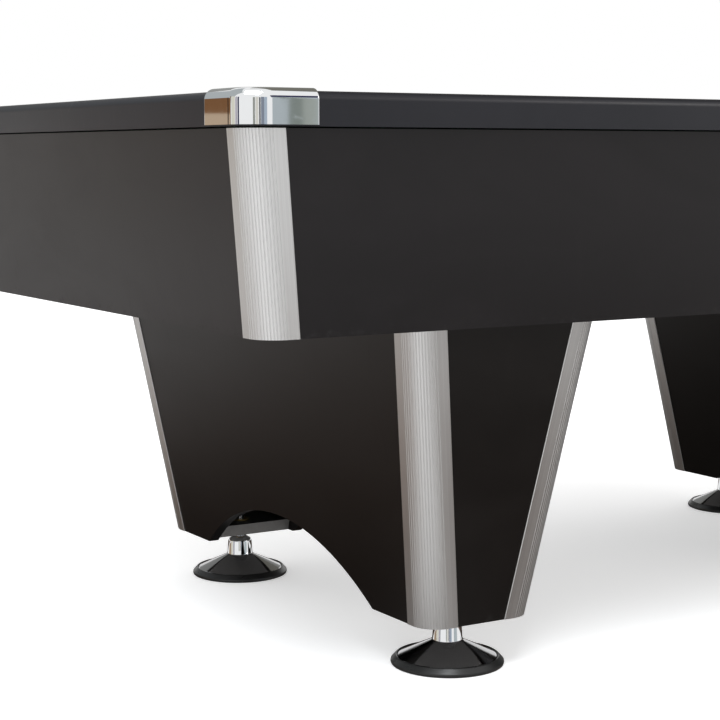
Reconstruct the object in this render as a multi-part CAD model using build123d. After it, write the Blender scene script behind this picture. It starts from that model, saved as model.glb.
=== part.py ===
from build123d import *
from math import cos, pi, sin
import os

# A seven-foot pool table. Millimetres, +Z up. X runs along the table and Y across it.
# The origin is on the floor, under the middle of the table.

# ---------------------------------------------------------------- driving dimensions
TABLE_HEIGHT = 840.0  # floor to the top of the rails
PLAY_LENGTH, PLAY_WIDTH = 1829.0, 914.0  # cushion nose to cushion nose
RAIL_WIDTH = 170.0  # cushion nose to the rail's outer face
RAIL_HEIGHT = 43.0
RAIL_CORNER_R, RAIL_EDGE_R = 36.5, 10.5  # seen from above, and along the outer top edge
CUSHION_DEPTH = 50.0
NOSE_HEIGHT = 33.0  # above the cloth

CLOTH, SLATE = 1.0, 19.0
SLATE_HALF_X, SLATE_HALF_Y = 1045.0, 588.0

RAIL_OVERHANG = 6.0  # rail's outer face beyond the cabinet's
SHADOW_GAP = 2.0  # between the cabinet's top and the rails
CABINET_DEPTH = 262.0
CABINET_LEAN = 0.163  # sideways travel per unit of height
BOARD = 18.0  # every panel and board

LEG_CENTRE_X = 598.0
LEG_BOTTOM, LEG_TOP = 81.0, 538.0
LEG_HALF_X, LEG_HALF_Y = 95.0, 431.0  # half footprint at the bottom
LEG_LEAN = 0.152
ARCH_HALF, ARCH_RISE = 277.0, 99.0

TRIM_R, TRIM_LIP = 37.0, 54.0  # corner radius, and how far each lip reaches from the sharp corner
TRIM_SKIN, TRIM_LIP_T, TRIM_FLANGE_T = 2.6, 1.6, 2.0
TRIM_BEVEL = 0.8
TRIM_WEB, TRIM_FLANGE_END = 41.0, 66.0  # from the sharp corner
FLUTES, FLUTE_WIDTH, FLUTE_DEPTH = 14, 1.5, 0.8

CAP_T, CAP_SIDE, CAP_EDGE_R, CAP_END_R, CAP_LIFT = 3.5, 105.0, 14.0, 2.5, 2.0
SIDE_CAP_HALF = 78.0

POCKET_HOLE_R = 50.0  # through the slate
LINER_R, LINER_OUT_R, LINER_FLANGE_R, LINER_FLANGE_T = 46.5, 53.5, 58.0, 2.5
LINER_GAP = 0.5
BOOT_R, BOOT_BOTTOM_R, BOOT_T, BOOT_DROP = 49.7, 32.0, 3.0, 19.0  # the part below the slate
CORNER_POCKET_SET, SIDE_POCKET_SET = 20.0, 60.0  # pocket centre beyond the nose lines
CORNER_JAW_R, CORNER_JAW_SET = 40.0, 36.7  # cushion end: radius, and distance from the nose lines' crossing
SIDE_JAW_R, SIDE_JAW_HALF = 30.0, 44.0

RAIL_BOLT_X, RAIL_BOLT_Y = (170.0, 480.0, 800.0), (-300.0, 0.0, 300.0)
RAIL_BOLT_IN = 45.0  # from the rail's inner face
RAIL_BOLT_R, RAIL_BOLT_TOP, SLATE_BOLT_HOLE_R = 4.0, 23.0, 5.0
RAIL_WASHER_R, RAIL_HEAD_FLATS, RAIL_HEAD_H = 8.8, 13.0, 5.3
LEG_BOLT_DX, LEG_BOLT_Y, LEG_BOLT_R = 100.0, 300.0, 5.0
LEG_SCREW_PAST, LEG_WASHER_R, LEG_HEAD_FLATS, LEG_HEAD_H = 12.0, 12.0, 17.0, 6.4
WASHER_T, BOLT_CLEAR = 2.0, 0.3

LEDGE_Y, LEDGE_X, LEDGE_DEPTH = 568.0, 1025.0, 50.0  # inner faces of the slate's ledges
BEAM_X, BEAM_WIDTH, BEAM_DEPTH, BEAM_END_DEPTH = (-680.0, -250.0, 250.0, 680.0), 40.0, 100.0, 25.0

RUN_Y, RUN_IN, RUN_WALL, RUN_DEPTH = 498.0, 100.0, 3.0, 45.0  # the gutter under a side's three pockets
RUN_LEFT, RUN_CORNER, RUN_RIGHT, RUN_STOP_Y = -990.0, 946.0, 1012.0, 222.0
RUN_START_Z, RUN_CORNER_Z, RUN_STOP_Z = 700.0, 651.0, 641.0
TRAY_LEFT, TRAY_RIGHT, TRAY_HALF_Y, TRAY_WALL = 896.0, 1019.6, 218.0, 4.0
TRAY_FLOOR, TRAY_TOP, TRAY_FRONT = 580.0, 634.0, 593.0
WINDOW_HALF_Y, WINDOW_HALF_Z, WINDOW_Z = 200.0, 42.0, 637.0
FRAME_WIDTH, FRAME_T, COLLAR_T = 20.0, 4.0, 3.0

FOOT_Y, FOOT_BOARD_EDGE = 341.0, 294.0
STUD_R, PIVOT_R, SHAFT_CLEAR = 8.0, 6.0, 0.05
PAD_R, PAD_FLOOR, PAD_TOP, PAD_SEAT_R = 86.0, 4.0, 13.5, 76.6
HUB_R, HUB_BOTTOM, DISC_TOP_R = 14.0, 24.0, 24.0
STEM_R, STEM_TOP_R, STEM_BASE, STEM_SHOULDER, STEM_TOP, STUD_TOP = 23.3, 21.3, 36.7, 62.0, 70.0, 128.0
INSERT_R, INSERT_FLANGE_R, INSERT_FLANGE_T = 11.0, 18.0, 2.0

# ---------------------------------------------------------------- places worked out from them
BED = TABLE_HEIGHT - RAIL_HEIGHT  # top of the cloth, and underside of the rails
SLATE_TOP = BED - CLOTH
SLATE_BOTTOM = SLATE_TOP - SLATE
NOSE_X, NOSE_Y = PLAY_LENGTH / 2, PLAY_WIDTH / 2
RAIL_X, RAIL_Y = NOSE_X + RAIL_WIDTH, NOSE_Y + RAIL_WIDTH
BACK_X, BACK_Y = NOSE_X + CUSHION_DEPTH, NOSE_Y + CUSHION_DEPTH
CAP_X, CAP_Y, CAP_TOP = RAIL_X + CAP_T, RAIL_Y + CAP_T, TABLE_HEIGHT + CAP_T
CABINET_TOP = BED - SHADOW_GAP
CABINET_BOTTOM = CABINET_TOP - CABINET_DEPTH
CABINET_X, CABINET_Y = RAIL_X - RAIL_OVERHANG, RAIL_Y - RAIL_OVERHANG
PANEL_OUT = TRIM_LIP_T  # insets from the trims' outer planes
PANEL_IN = PANEL_OUT + BOARD
FLANGE_IN = PANEL_IN + 0.3
CLEAR_OF_TRIM = FLANGE_IN + TRIM_FLANGE_T + 0.2
PANEL_END = TRIM_WEB + TRIM_FLANGE_T + 0.3
BEYOND_TRIM = TRIM_FLANGE_END + 0.3
BASE_TOP = LEG_TOP + BOARD
FOOT_BOARD_TOP = LEG_BOTTOM + BOARD + 1
CORNERS = {"front_left": (-1, -1), "front_right": (1, -1), "back_left": (-1, 1), "back_right": (1, 1)}
POCKET_X, POCKET_Y = NOSE_X + CORNER_POCKET_SET, NOSE_Y + CORNER_POCKET_SET
SIDE_POCKET_Y = NOSE_Y + SIDE_POCKET_SET
POCKETS = [(qx * POCKET_X, qy * POCKET_Y) for qx, qy in CORNERS.values()]
POCKETS += [(0, -SIDE_POCKET_Y), (0, SIDE_POCKET_Y)]
FAR = 3000.0  # beyond the table, for cutting shapes


# ---------------------------------------------------------------- shapes used throughout
def node(name, *solids):
    """Writes one sub-part, as one solid or a group of separate ones."""
    shape = solids[0] if len(solids) == 1 else Compound(children=[Part() + solid for solid in solids])
    export_step(shape, f"parts/{name}.step")


def box(x, y, z):
    """A box from three (low, high) pairs."""
    size = (x[1] - x[0], y[1] - y[0], z[1] - z[0])
    return Pos(x[0], y[0], z[0]) * Box(*size, align=Align.MIN)


def rod(x, y, z0, z1, radius):
    """An upright cylinder between two heights."""
    return Pos(x, y, z0) * Cylinder(radius, z1 - z0, align=(Align.CENTER, Align.CENTER, Align.MIN))


def hexagon(x, y, z0, z1, flats):
    """An upright hexagonal prism, such as a bolt's head."""
    return Pos(x, y, z0) * extrude(RegularPolygon(flats / 2, 6, major_radius=False), z1 - z0)


def turned(points):
    """A body of revolution about Z, from (radius, height) points."""
    outline = make_face(Polyline([(r, 0, z) for r, z in points], close=True))
    return revolve(outline, Axis.Z)


def prism(points, push):
    """A flat outline of 3D points, pushed along a vector."""
    outline = make_face(Polyline(points, close=True))
    way = Vector(push)
    return extrude(outline, amount=way.length, dir=way.normalized())


def flipped(shape, qx, qy):
    """A shape in the -X, -Y quadrant, mirrored into the quadrant of signs qx, qy."""
    if qx > 0:
        shape = mirror(shape, Plane.YZ)
    if qy > 0:
        shape = mirror(shape, Plane.XZ)
    return shape


def cabinet_half(z):
    """The cabinet's half length and half width at height z, to the trims' outer planes."""
    inset = (CABINET_TOP - z) * CABINET_LEAN
    return CABINET_X - inset, CABINET_Y - inset


def leg_half(z):
    """A pedestal's half sizes at height z, to the trims' outer planes."""
    spread = (z - LEG_BOTTOM) * LEG_LEAN
    return LEG_HALF_X + spread, LEG_HALF_Y + spread


def leaning_block(half, z0, z1, x_sides, y_sides):
    """A block whose sides lean with the walls that half(z) gives.

    Each pair of sides is a sign and an inset from the leaning outer plane on that side.
    """
    levels = []
    for z in (z0, z1):
        hx, hy = half(z)
        xs = [sign * (hx - inset) for sign, inset in x_sides]
        ys = [sign * (hy - inset) for sign, inset in y_sides]
        loop = [(xs[0], ys[0], z), (xs[1], ys[0], z), (xs[1], ys[1], z), (xs[0], ys[1], z)]
        levels.append(make_face(Polyline(loop, close=True)))
    return loft(levels, ruled=True)


def both(inset):
    """The two opposite sides of a block, each set in by the same amount."""
    return (-1, inset), (1, inset)


def wall_x(half, sign, z0, z1):
    """The panel on the -X or +X side, between the corner trims."""
    return leaning_block(half, z0, z1, ((sign, PANEL_OUT), (sign, PANEL_IN)), both(PANEL_END))


def wall_y(half, sign, z0, z1):
    """The panel on the -Y or +Y side, between the corner trims."""
    return leaning_block(half, z0, z1, both(PANEL_END), ((sign, PANEL_OUT), (sign, PANEL_IN)))


def inner_board(half, z0, z1):
    """A level board that fills the space between four walls and stays clear of the corner trims."""
    return (
        leaning_block(half, z0, z1, both(CLEAR_OF_TRIM), both(CLEAR_OF_TRIM))
        + leaning_block(half, z0, z1, both(PANEL_IN), both(BEYOND_TRIM))
        + leaning_block(half, z0, z1, both(BEYOND_TRIM), both(PANEL_IN))
    )


# ---------------------------------------------------------------- fluted aluminium corners
def on_trim_arc(angle, radius):
    """A point at an angle round the trim's corner, on an arc about the same centre."""
    return TRIM_R - radius * sin(angle), TRIM_R - radius * cos(angle)


def fluted_arc():
    """The quarter round outside, with shallow round flutes evenly along it."""
    step = pi / 2 / FLUTES
    half_flute = FLUTE_WIDTH / 2 / TRIM_R
    edges, land_start = [], 0.0
    for i in range(FLUTES):
        middle = (i + 0.5) * step
        start, end = middle - half_flute, middle + half_flute
        land = [on_trim_arc(a, TRIM_R) for a in (land_start, (land_start + start) / 2, start)]
        flute = [land[2], on_trim_arc(middle, TRIM_R - FLUTE_DEPTH), on_trim_arc(end, TRIM_R)]
        edges += [ThreePointArc(*land), ThreePointArc(*flute)]
        land_start = end
    last = [on_trim_arc(a, TRIM_R) for a in (land_start, (land_start + pi / 2) / 2, pi / 2)]
    return edges + [ThreePointArc(*last)]


def trim_section():
    """The section of the corner: sharp corner at the origin, faces along +X and +Y, a slot for each panel."""
    flange_out, web_out = FLANGE_IN + TRIM_FLANGE_T, TRIM_WEB + TRIM_FLANGE_T
    side = [
        (0, TRIM_R),
        (0, TRIM_LIP - TRIM_BEVEL),
        (TRIM_BEVEL, TRIM_LIP),
        (TRIM_LIP_T, TRIM_LIP),
        (TRIM_LIP_T, web_out),
        (FLANGE_IN, web_out),
        (FLANGE_IN, TRIM_FLANGE_END),
        (flange_out, TRIM_FLANGE_END),
        (flange_out, TRIM_WEB),
        (TRIM_SKIN, TRIM_WEB),
        (TRIM_SKIN, TRIM_R),
    ]
    other_side = [(y, x) for x, y in reversed(side)]
    inside = ThreePointArc(side[-1], on_trim_arc(pi / 4, TRIM_R - TRIM_SKIN), other_side[0])
    return make_face(fluted_arc() + [Polyline(side), inside, Polyline(other_side)])


def corner_trim(section, half, z0, z1):
    """The corner trim in the -X, -Y quadrant, following the walls' lean."""
    low, high = (Vector(-half(z)[0], -half(z)[1], z) for z in (z0, z1))
    lean = high - low
    return extrude(Pos(*low) * section, amount=lean.length, dir=lean.normalized())


# ---------------------------------------------------------------- bed
def bolt_places():
    """Where the rail bolts stand: along both sides, then across both ends."""
    side_y, end_x = BACK_Y + RAIL_BOLT_IN, BACK_X + RAIL_BOLT_IN
    along = [(sx * x, sy * side_y) for sy in (-1, 1) for sx in (-1, 1) for x in RAIL_BOLT_X]
    across = [(sx * end_x, y) for sx in (-1, 1) for y in RAIL_BOLT_Y]
    return along + across


def bed_layer(z0, z1):
    """A sheet of the slate's size, with the pocket and bolt holes through it."""
    layer = box((-SLATE_HALF_X, SLATE_HALF_X), (-SLATE_HALF_Y, SLATE_HALF_Y), (z0, z1))
    layer -= [rod(x, y, z0 - 1, z1 + 1, POCKET_HOLE_R) for x, y in POCKETS]
    return layer - [rod(x, y, z0 - 1, z1 + 1, SLATE_BOLT_HOLE_R) for x, y in bolt_places()]


def build_bed():
    node("slate_bed", bed_layer(SLATE_BOTTOM, SLATE_TOP))
    node("bed_cloth", bed_layer(SLATE_TOP, BED))


# ---------------------------------------------------------------- rails and cushions
def rounded_slab(half_x, half_y, z0, z1, corner_r, edge_r):
    """A slab with round corners seen from above and a rounded top edge."""
    slab = Pos(0, 0, z0) * extrude(RectangleRounded(2 * half_x, 2 * half_y, corner_r), z1 - z0)
    return fillet(slab.edges().group_by(Axis.Z)[-1], edge_r)


def build_rails():
    """One ring of rail, mitred into a front, back, left and right rail."""
    ring = rounded_slab(RAIL_X, RAIL_Y, BED, TABLE_HEIGHT, RAIL_CORNER_R, RAIL_EDGE_R)
    ring -= box((-BACK_X, BACK_X), (-BACK_Y, BACK_Y), (BED - 1, TABLE_HEIGHT + 1))
    notch_r, bolt_r, hole_top = LINER_OUT_R + LINER_GAP, RAIL_BOLT_R + BOLT_CLEAR, BED + RAIL_BOLT_TOP + 2
    ring -= [rod(x, y, BED - 1, TABLE_HEIGHT + 1, notch_r) for x, y in POCKETS]
    ring -= [rod(x, y, BED - 1, hole_top, bolt_r) for x, y in bolt_places()]
    apex, reach = RAIL_X - RAIL_Y, RAIL_Y + 10
    side = [(-apex - reach, -reach, 0), (apex + reach, -reach, 0), (apex, 0, 0), (-apex, 0, 0)]
    end = [(-apex - reach, -reach, 0), (-apex, 0, 0), (-apex - reach, reach, 0)]
    front, left = prism(side, (0, 0, FAR)), prism(end, (0, 0, FAR))
    node("rail_front", ring & front)
    node("rail_back", ring & mirror(front, Plane.XZ))
    node("rail_left", ring & left)
    node("rail_right", ring & mirror(left, Plane.YZ))


def cushion_section():
    """The cushion across its length: nose at y = 0, back at y = -CUSHION_DEPTH, cloth at z = 0."""
    under, tip, over = (0, -0.8, NOSE_HEIGHT - 2.7), (0, 0, NOSE_HEIGHT), (0, -3.4, NOSE_HEIGHT + 3.4)
    back_top, back_low, heel = (0, -CUSHION_DEPTH, RAIL_HEIGHT - 0.4), (0, -CUSHION_DEPTH, 0.3), (0, -24, 0.3)
    return make_face([ThreePointArc(under, tip, over), Polyline(over, back_top, back_low, heel, under)])


def cushion(length, start_r, end_r):
    """A cushion from the origin along +X, its nose facing +Y and its two ends rounded back."""
    section = cushion_section()
    body = Pos(start_r, 0, 0) * extrude(section, length - start_r - end_r, dir=(1, 0, 0))
    for at, radius, way in ((start_r, start_r, -1), (length - end_r, end_r, 1)):
        front = section & box((-1, 1), (-radius, 1), (-1, RAIL_HEIGHT))
        back = section & box((-1, 1), (-CUSHION_DEPTH - 1, -radius), (-1, RAIL_HEIGHT))
        jaw = revolve(front, Axis((0, -radius, 0), (0, 0, 1)), -90 * way)
        body += Pos(at, 0, 0) * (jaw + extrude(back, radius, dir=(way, 0, 0)))
    return body


def build_cushions():
    side_length = NOSE_X - CORNER_JAW_SET - SIDE_JAW_HALF
    end_length = PLAY_WIDTH - 2 * CORNER_JAW_SET
    to_middle = cushion(side_length, CORNER_JAW_R, SIDE_JAW_R)
    front_left = Pos(-NOSE_X + CORNER_JAW_SET, -NOSE_Y, BED) * to_middle
    left = Pos(-NOSE_X, end_length / 2, BED) * Rot(0, 0, -90) * cushion(end_length, CORNER_JAW_R, CORNER_JAW_R)
    for name, (qx, qy) in CORNERS.items():
        node(f"cushion_{name}", flipped(front_left, qx, qy))
    node("cushion_left", left)
    node("cushion_right", mirror(left, Plane.YZ))


def build_rail_bolts():
    """Bolts with fixed washers, up through the slate into the rails."""
    bolts, seat = [], SLATE_BOTTOM - WASHER_T
    for x, y in bolt_places():
        washer = rod(x, y, seat, SLATE_BOTTOM, RAIL_WASHER_R)
        head = hexagon(x, y, seat - RAIL_HEAD_H, seat, RAIL_HEAD_FLATS)
        bolts.append(rod(x, y, seat, BED + RAIL_BOLT_TOP, RAIL_BOLT_R) + washer + head)
    node("rail_bolts", *bolts)


# ---------------------------------------------------------------- chrome caps and pockets
def cap_shell():
    """A skin of the caps' thickness all over the rails, with the rails' own shape inside."""
    outer = rounded_slab(CAP_X, CAP_Y, BED + CAP_LIFT, CAP_TOP, RAIL_CORNER_R + CAP_T, CAP_EDGE_R)
    return outer - rounded_slab(RAIL_X, RAIL_Y, BED - 1, TABLE_HEIGHT, RAIL_CORNER_R, RAIL_EDGE_R)


def soften_end(cap, axis, at):
    """Rounds a cap's end where it stops along a rail, on its outer side only."""
    ends = cap.edges().filter_by(lambda e: all(abs(tuple(e @ t)[axis] - at) < 0.01 for t in (0, 0.5, 1)))
    across = 1 - axis

    def outside(e):
        middle = tuple(e @ 0.5)
        reach = (CAP_X, CAP_Y)[across] - abs(middle[across])
        depth = CAP_TOP - middle[2]
        corner = CAP_EDGE_R * (1 - 0.5**0.5)
        on_arc = abs(reach - corner) < 0.3 and abs(depth - corner) < 0.3
        return reach < 0.01 or depth < 0.01 or on_arc

    return fillet(ends.filter_by(outside), CAP_END_R)


def build_caps():
    shell = cap_shell()
    clear_r, z = LINER_FLANGE_R + LINER_GAP, (BED - 2, CAP_TOP + 2)
    end_x, end_y = CAP_SIDE - CAP_X, CAP_SIDE - CAP_Y
    corner = shell & box((-FAR, end_x), (-FAR, end_y), z)
    corner = soften_end(soften_end(corner, 0, end_x), 1, end_y)
    for name, (qx, qy) in CORNERS.items():
        node(f"corner_cap_{name}", flipped(corner, qx, qy))
    middle = shell & box((-SIDE_CAP_HALF, SIDE_CAP_HALF), (-FAR, -BACK_Y), z)
    middle -= rod(0, -SIDE_POCKET_Y, *z, clear_r)
    middle = soften_end(middle, 0, -SIDE_CAP_HALF)
    middle = soften_end(middle, 0, SIDE_CAP_HALF)
    node("side_cap_front", middle)
    node("side_cap_back", mirror(middle, Plane.XZ))


def build_pocket_liners():
    """A moulded collar behind each pocket's mouth, with a tapered boot through the slate."""
    flange_z, boot_z = TABLE_HEIGHT + LINER_FLANGE_T, SLATE_BOTTOM - BOOT_DROP
    collar = turned(
        [
            (LINER_FLANGE_R, TABLE_HEIGHT),
            (LINER_FLANGE_R, flange_z - 1),
            (LINER_FLANGE_R - 1, flange_z),
            (LINER_R + 2, flange_z),
            (LINER_R, flange_z - 2),
            (LINER_R, SLATE_BOTTOM),
            (BOOT_BOTTOM_R - BOOT_T, boot_z),
            (BOOT_BOTTOM_R, boot_z),
            (BOOT_R, SLATE_BOTTOM),
            (BOOT_R, BED),
            (LINER_OUT_R, BED),
            (LINER_OUT_R, TABLE_HEIGHT),
        ]
    )
    above = (BED, TABLE_HEIGHT + 10)
    corner = Pos(-POCKET_X, -POCKET_Y, 0) * collar - box((-BACK_X, FAR), (-BACK_Y, FAR), above)
    middle = Pos(0, -SIDE_POCKET_Y, 0) * collar - box((-FAR, FAR), (-BACK_Y, FAR), above)
    liners = [flipped(corner, qx, qy) for qx, qy in CORNERS.values()]
    node("pocket_liners", *liners, middle, mirror(middle, Plane.XZ))


# ---------------------------------------------------------------- cabinet
def window_ring(outer, inner, inner_inset, outer_inset):
    """A rectangular ring round the ball window, between two insets from the right wall's outer plane."""
    slab = leaning_block(
        cabinet_half, CABINET_BOTTOM, CABINET_TOP, ((1, outer_inset), (1, inner_inset)), both(PANEL_END)
    )
    span = (0, FAR)

    def opening(grow):
        y, z = WINDOW_HALF_Y + grow, WINDOW_HALF_Z + grow
        return box(span, (-y, y), (WINDOW_Z - z, WINDOW_Z + z))

    return slab & (opening(outer) - opening(inner))


def build_cabinet():
    section = trim_section()
    span = (CABINET_BOTTOM, CABINET_TOP)
    window_z = (WINDOW_Z - WINDOW_HALF_Z, WINDOW_Z + WINDOW_HALF_Z)
    window = box((0, FAR), (-WINDOW_HALF_Y, WINDOW_HALF_Y), window_z)
    node("apron_front", wall_y(cabinet_half, -1, *span))
    node("apron_back", wall_y(cabinet_half, 1, *span))
    node("apron_left", wall_x(cabinet_half, -1, *span))
    node("apron_right", wall_x(cabinet_half, 1, *span) - window)
    trim = corner_trim(section, cabinet_half, *span)
    for name, (qx, qy) in CORNERS.items():
        node(f"apron_trim_{name}", flipped(trim, qx, qy))
    surround = window_ring(FRAME_WIDTH, -COLLAR_T, PANEL_OUT, PANEL_OUT - FRAME_T)
    collar = window_ring(0, -COLLAR_T, PANEL_IN + 2, PANEL_OUT - FRAME_T)
    node("ball_window_frame", surround + collar)
    holes = [rod(x, y, LEG_TOP - 1, BASE_TOP + 1, LEG_BOLT_R + BOLT_CLEAR) for x, y in leg_bolts()]
    node("base_board", inner_board(cabinet_half, LEG_TOP, BASE_TOP) - holes)


def build_slate_frame():
    """Ledges round the inside of the cabinet and beams between them, all level with the slate's underside."""
    low, high = SLATE_BOTTOM - LEDGE_DEPTH, SLATE_BOTTOM
    around = leaning_block(cabinet_half, low, high, both(BEYOND_TRIM), both(PANEL_IN))
    across = leaning_block(cabinet_half, low, high, both(PANEL_IN), both(BEYOND_TRIM))
    y_gap = box((-FAR, FAR), (-LEDGE_Y, LEDGE_Y), (low - 1, high + 1))
    x_gap = box((-LEDGE_X, LEDGE_X), (-FAR, FAR), (low - 1, high + 1))
    node("slate_ledges", *(around - y_gap).solids(), *(across - x_gap).solids())
    step_y = RUN_Y - RUN_IN / 2 - RUN_WALL
    beams = []
    for x in BEAM_X:
        sides = (x - BEAM_WIDTH / 2, x + BEAM_WIDTH / 2)
        deep = box(sides, (-step_y, step_y), (SLATE_BOTTOM - BEAM_DEPTH, SLATE_BOTTOM))
        beams.append(deep + box(sides, (-LEDGE_Y, LEDGE_Y), (SLATE_BOTTOM - BEAM_END_DEPTH, SLATE_BOTTOM)))
    node("cross_beams", *beams)


def gutter(grow, drop):
    """The space of a ball run along the front side and round to the tray, grown outwards and down."""
    low_y, high_y = -RUN_Y - RUN_IN / 2 - grow, -RUN_Y + RUN_IN / 2 + grow
    left, right = RUN_LEFT - grow, RUN_RIGHT + grow
    side = [
        (left, low_y, RUN_START_Z - drop),
        (right, low_y, RUN_CORNER_Z - drop),
        (right, low_y, RUN_CORNER_Z + RUN_DEPTH),
        (left, low_y, RUN_START_Z + RUN_DEPTH),
    ]
    end_x = RUN_CORNER - grow
    end = [
        (end_x, low_y, RUN_CORNER_Z - drop),
        (end_x, -RUN_STOP_Y, RUN_STOP_Z - drop),
        (end_x, -RUN_STOP_Y, RUN_STOP_Z + RUN_DEPTH),
        (end_x, low_y, RUN_CORNER_Z + RUN_DEPTH),
    ]
    return prism(side, (0, high_y - low_y, 0)) + prism(end, (right - end_x, 0, 0))


def build_ball_return():
    open_top = gutter(0, 0)
    lifted = Pos(0, 0, RUN_DEPTH / 2) * open_top
    past_end = Pos(0, 2, 0) * (open_top & box((RUN_CORNER, RUN_RIGHT), (-FAR, FAR), (0, FAR)))
    front = gutter(RUN_WALL, RUN_WALL) - (open_top + lifted + past_end)
    node("ball_runs", front, mirror(front, Plane.XZ))
    t, y = TRAY_WALL, TRAY_HALF_Y
    tray = box((TRAY_LEFT, TRAY_RIGHT), (-y, y), (BASE_TOP, TRAY_TOP))
    tray -= box((TRAY_LEFT + t, TRAY_RIGHT - t), (t - y, y - t), (TRAY_FLOOR, FAR))
    tray -= box((TRAY_LEFT + t, TRAY_RIGHT - t), (t - y, y - t), (0, TRAY_FLOOR - t))
    node("ball_tray", tray - box((TRAY_RIGHT - t - 1, FAR), (t - y, y - t), (TRAY_FRONT, FAR)))


# ---------------------------------------------------------------- pedestals
def leg_bolts():
    """Where the coach screws go down through the base board into the pedestals."""
    xs = [sx * LEG_CENTRE_X + dx * LEG_BOLT_DX for sx in (-1, 1) for dx in (-1, 1)]
    return [(x, sy * LEG_BOLT_Y) for x in xs for sy in (-1, 1)]


def feet():
    """Each foot's name and place."""
    return {name: (qx * LEG_CENTRE_X, qy * FOOT_Y) for name, (qx, qy) in CORNERS.items()}


def build_pedestals():
    section = trim_section()
    span = (LEG_BOTTOM, LEG_TOP)
    arch_r = (ARCH_HALF**2 + ARCH_RISE**2) / (2 * ARCH_RISE)
    arch_z = LEG_BOTTOM + ARCH_RISE - arch_r
    arch = Pos(0, 0, arch_z) * Rot(0, 90, 0) * Cylinder(arch_r, FAR)
    trim = corner_trim(section, leg_half, *span)
    trims = [flipped(trim, qx, qy) for qx, qy in CORNERS.values()]
    for side, sx in (("left", -1), ("right", 1)):
        place = Pos(sx * LEG_CENTRE_X, 0, 0)
        node(f"leg_{side}_outer_panel", place * (wall_x(leg_half, sx, *span) - arch))
        node(f"leg_{side}_inner_panel", place * (wall_x(leg_half, -sx, *span) - arch))
        node(f"leg_{side}_front_panel", place * wall_y(leg_half, -1, *span))
        node(f"leg_{side}_back_panel", place * wall_y(leg_half, 1, *span))
        node(f"leg_{side}_trims", *[place * t for t in trims])
    top_board = inner_board(leg_half, LEG_TOP - BOARD, LEG_TOP)
    screw_holes = [rod(x, y, LEG_TOP - BOARD - 1, LEG_TOP + 1, LEG_BOLT_R) for x, y in leg_bolts()]
    node("leg_top_boards", *[Pos(sx * LEG_CENTRE_X, 0, 0) * top_board - screw_holes for sx in (-1, 1)])
    floor = inner_board(leg_half, LEG_BOTTOM, FOOT_BOARD_TOP) - box(
        (-FAR, FAR), (-FOOT_BOARD_EDGE, FOOT_BOARD_EDGE), (0, FAR)
    )
    holes = [rod(x, y, 0, FOOT_BOARD_TOP + 1, INSERT_R) for x, y in feet().values()]
    node("foot_boards", *[b - holes for sx in (-1, 1) for b in (Pos(sx * LEG_CENTRE_X, 0, 0) * floor).solids()])


def build_leg_screws():
    screws, seat = [], BASE_TOP + WASHER_T
    for x, y in leg_bolts():
        shank = rod(x, y, LEG_TOP - BOARD - LEG_SCREW_PAST, seat, LEG_BOLT_R)
        washer = rod(x, y, BASE_TOP, seat, LEG_WASHER_R)
        screws.append(shank + washer + hexagon(x, y, seat, seat + LEG_HEAD_H, LEG_HEAD_FLATS))
    node("leg_screws", *screws)


# ---------------------------------------------------------------- screw feet
def build_feet():
    cone_r = PAD_SEAT_R - 0.2
    pad = turned(
        [
            (0, 0),
            (PAD_R - 4, 0),
            (PAD_R - 1, 1.2),
            (PAD_R, 3.6),
            (PAD_R - 0.4, 6),
            (PAD_R - 6.6, PAD_TOP - 0.8),
            (PAD_R - 8, PAD_TOP),
            (PAD_SEAT_R, PAD_TOP - 0.8),
            (PAD_SEAT_R, PAD_FLOOR),
            (0, PAD_FLOOR),
        ]
    )
    disc = turned(
        [
            (cone_r, PAD_FLOOR),
            (cone_r, 11.5),
            (cone_r - 2, 13),
            (DISC_TOP_R + 2, STEM_BASE - 1.2),
            (DISC_TOP_R, STEM_BASE),
            (PIVOT_R + SHAFT_CLEAR, STEM_BASE),
            (PIVOT_R + SHAFT_CLEAR, HUB_BOTTOM),
            (HUB_R, HUB_BOTTOM),
            (HUB_R, 31),
            (DISC_TOP_R, 31),
            (cone_r - 4, 9),
            (cone_r - 4, PAD_FLOOR),
        ]
    )
    stem = turned(
        [
            (0, HUB_BOTTOM + 2),
            (PIVOT_R, HUB_BOTTOM + 2),
            (PIVOT_R, STEM_BASE),
            (STEM_R, STEM_BASE),
            (STEM_TOP_R, STEM_SHOULDER),
            (STEM_TOP_R - 1.6, STEM_SHOULDER + 3.2),
            (STUD_R + 4, STEM_TOP),
            (STUD_R, STEM_TOP),
            (STUD_R, STUD_TOP - 1),
            (STUD_R - 1, STUD_TOP),
            (0, STUD_TOP),
        ]
    )
    insert = turned(
        [
            (STUD_R + SHAFT_CLEAR, LEG_BOTTOM + 1),
            (INSERT_R, LEG_BOTTOM + 1),
            (INSERT_R, FOOT_BOARD_TOP),
            (INSERT_FLANGE_R, FOOT_BOARD_TOP),
            (INSERT_FLANGE_R, FOOT_BOARD_TOP + INSERT_FLANGE_T),
            (STUD_R + SHAFT_CLEAR, FOOT_BOARD_TOP + INSERT_FLANGE_T),
        ]
    )
    for name, (x, y) in feet().items():
        for piece, shape in (("pad", pad), ("disc", disc), ("stem", stem)):
            node(f"foot_{name}_{piece}", Pos(x, y, 0) * shape)
    node("foot_inserts", *[Pos(x, y, 0) * insert for x, y in feet().values()])


os.makedirs("parts", exist_ok=True)
build_bed()
build_rails()
build_cushions()
build_rail_bolts()
build_caps()
build_pocket_liners()
build_cabinet()
build_slate_frame()
build_ball_return()
build_pedestals()
build_leg_screws()
build_feet()
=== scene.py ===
import math

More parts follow.
